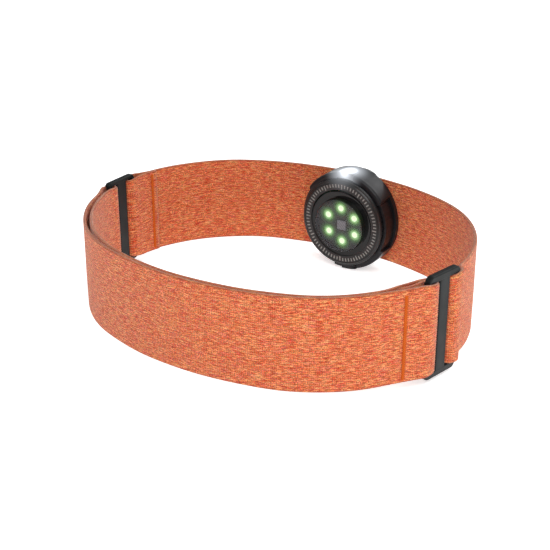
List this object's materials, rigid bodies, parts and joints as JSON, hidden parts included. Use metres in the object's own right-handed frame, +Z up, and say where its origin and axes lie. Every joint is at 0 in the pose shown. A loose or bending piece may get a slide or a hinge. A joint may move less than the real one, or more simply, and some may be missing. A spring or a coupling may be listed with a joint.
{
  "type": "optical pulse sensor armband",
  "caption": "Elastic armband, adjustable with three-bar slides, carrying a removable round optical pulse sensor that faces the skin on the inside of the loop.",
  "frame": {"origin": "middle of the base, under the centre of the loop, on the plane through the foot of the holder's latch", "axes": "+X towards the strap adjuster's end of the loop (its long way), +Y towards the side that carries the sensor, +Z up along the axis of the arm"},
  "size_m": [0.127, 0.1028, 0.0339],
  "materials": {
    "webbing": "heathered elastic webbing",
    "slide_plastic": "satin moulded",
    "thread": "sewing thread",
    "holder_plastic": "satin moulded",
    "case_plastic": "satin moulded",
    "ring_plastic": "fine matt",
    "gold_contact": "plated",
    "seal_rubber": "soft",
    "dark_window": "polished",
    "baffle_plastic": "matt",
    "green_led": "clear green emitter",
    "photodiode_chip": "polished chip",
    "circuit_board": "solder mask",
    "chip_package": "moulded",
    "connector_plastic": "moulded",
    "cell_foil": "foil pouch",
    "foam_pad": "foam",
    "antenna_metal": "plated",
    "white_led": "white emitter",
    "button_plastic": "satin moulded",
    "light_window": "diffusing"
  },
  "bodies": {
    "strap": {"strap_back_run": "webbing", "strap_adjuster_pass": "webbing", "strap_inner_run": "webbing", "strap_outer_run": "webbing", "strap_loop_ring": "slide_plastic", "ring_stitches": "thread"},
    "adjuster": {"strap_adjuster": "slide_plastic", "adjuster_stitches": "thread"},
    "holder": {"holder_cradle": "holder_plastic", "holder_back_plate": "holder_plastic"},
    "sensor": {"sensor_case": "case_plastic", "charging_contacts": "gold_contact", "front_ring": "ring_plastic", "case_seal": "seal_rubber", "optical_window": "dark_window", "light_baffle": "baffle_plastic", "green_leds": "green_led", "photodiode": "photodiode_chip", "optics_board": "circuit_board", "main_board": "circuit_board", "processor": "chip_package", "board_connector": "connector_plastic", "battery": "cell_foil", "battery_pad": "foam_pad", "antenna": "antenna_metal", "button_switch": "connector_plastic", "status_led": "white_led"},
    "button": {"power_button": "button_plastic", "button_light_window": "light_window"}
  },
  "joints": [
    {"name": "holder_slide", "type": "hinge", "parent": "strap", "child": "holder", "pos_m": [-0.00007, -0.04143, 0.017], "axis": [0, 0, 1], "range_deg": [-7, 7]},
    {"name": "adjuster_slide", "type": "hinge", "parent": "strap", "child": "adjuster", "pos_m": [0.0136, -0.00143, 0.017], "axis": [0, 0, 1], "range_deg": [-10, 10], "deforming": ["strap_outer_run", "strap_adjuster_pass"]},
    {"name": "sensor_release", "type": "slide", "parent": "holder", "child": "sensor", "axis": [0, -1, 0], "range_m": [0, 0.02]},
    {"name": "button_press", "type": "slide", "parent": "sensor", "child": "button", "axis": [0, 0, -1], "range_m": [0, 0.0004], "stiffness_N_per_m": 400, "springref_m": -0.001}
  ]
}
